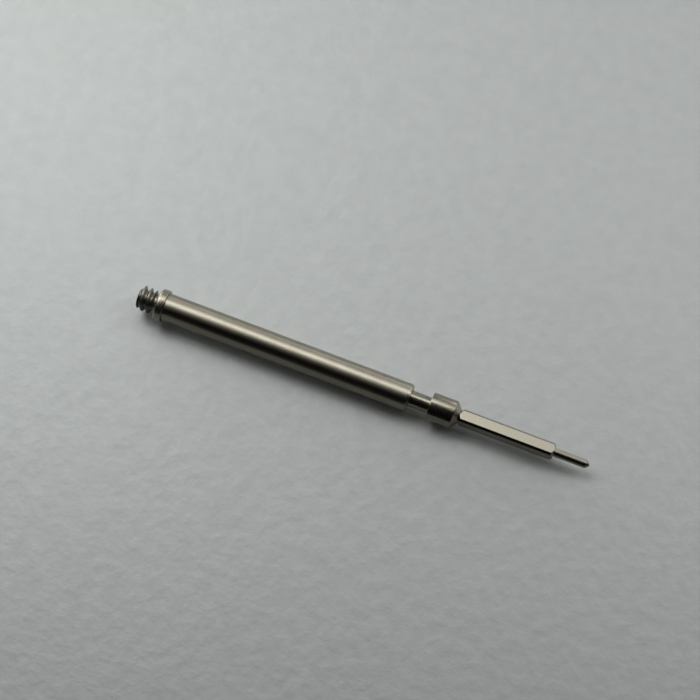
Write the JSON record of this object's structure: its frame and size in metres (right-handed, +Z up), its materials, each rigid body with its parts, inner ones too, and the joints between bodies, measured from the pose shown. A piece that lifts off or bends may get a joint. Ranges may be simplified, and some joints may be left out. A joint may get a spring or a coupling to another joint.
{
  "type": "watch winding stem",
  "caption": "Slim turned steel stem for winding and setting a watch: threaded crown end with a proud collar, long bearing sleeve, lever groove, hub, square and pilot.",
  "frame": {"origin": "on the stem's axis, halfway along the setting-lever groove", "axes": "+X along the axis to the pilot, into the movement; -X to the crown; +Z up; the square's flats are turned 5.8 degrees from Y and Z"},
  "size_m": [0.017, 0.0012, 0.0012],
  "materials": {
    "brushed_sleeve": "fine turning marks round the axis",
    "turned_collar": "turned, edge rounded",
    "cut_thread": "cut thread, oily and dark between the crests",
    "polished_arbor": "turned and polished, flats milled"
  },
  "bodies": {
    "stem": {"bearing_sleeve": "brushed_sleeve", "winding_arbor": "polished_arbor"},
    "collar": {"crown_seat_collar": "turned_collar"},
    "stud": {"crown_stud": "cut_thread"}
  },
  "joints": [
    {"name": "collar_slide", "type": "slide", "parent": "stem", "child": "collar", "axis": [-1, 0, 0], "range_m": [0, 0.0009]},
    {"name": "stud_unscrew", "type": "hinge", "parent": "collar", "child": "stud", "pos_m": [-0.01039, 0, 0], "axis": [-1, 0, 0], "range_deg": [0, 2160]}
  ],
  "couplings": [
    {"joint": "stud_unscrew", "follows": "collar_slide", "rad_per_m": 41888}
  ]
}
